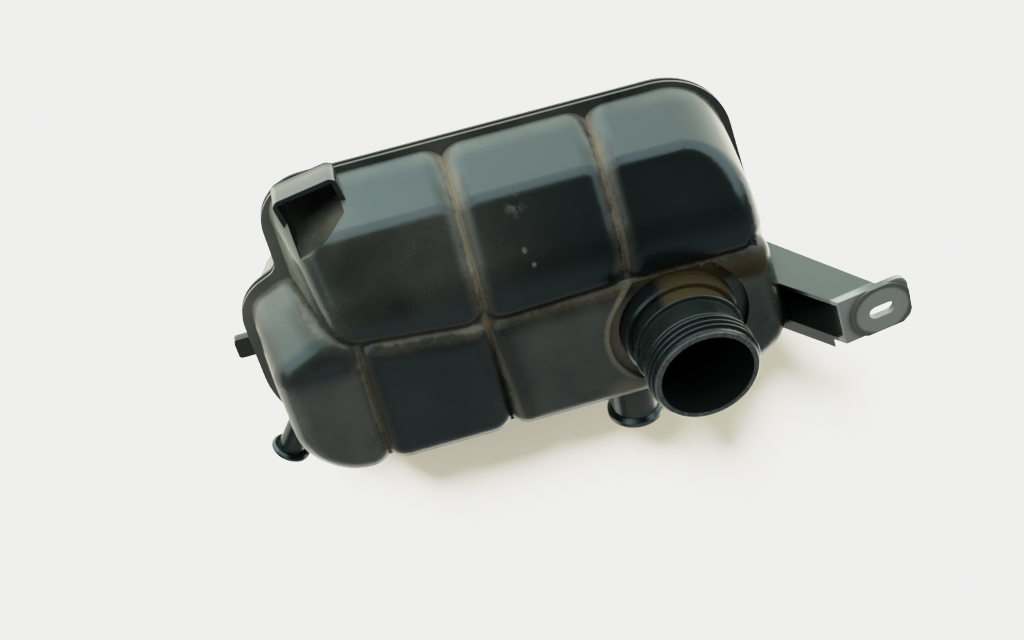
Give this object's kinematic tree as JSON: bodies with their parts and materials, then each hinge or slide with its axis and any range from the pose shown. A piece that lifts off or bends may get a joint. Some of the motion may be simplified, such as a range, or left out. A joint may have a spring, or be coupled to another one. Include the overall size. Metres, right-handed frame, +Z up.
{
  "type": "coolant expansion tank",
  "caption": "Low moulded coolant expansion tank with pillow-ribbed walls, a wide threaded filler neck without its cap, hose spigots and an inclined bracket arm.",
  "frame": {"origin": "on the flat underside, below the middle of the weld flange", "axes": "+Z up along the filler neck, +X along the tank towards the bracket arm, +Y towards the long side that slopes down"},
  "size_m": [0.3454, 0.2015, 0.145],
  "materials": {
    "black_plastic": "satin black polypropylene, dusty and scuffed"
  },
  "bodies": {
    "root": {"upper_shell": "black_plastic", "lower_shell": "black_plastic"}
  },
  "joints": []
}
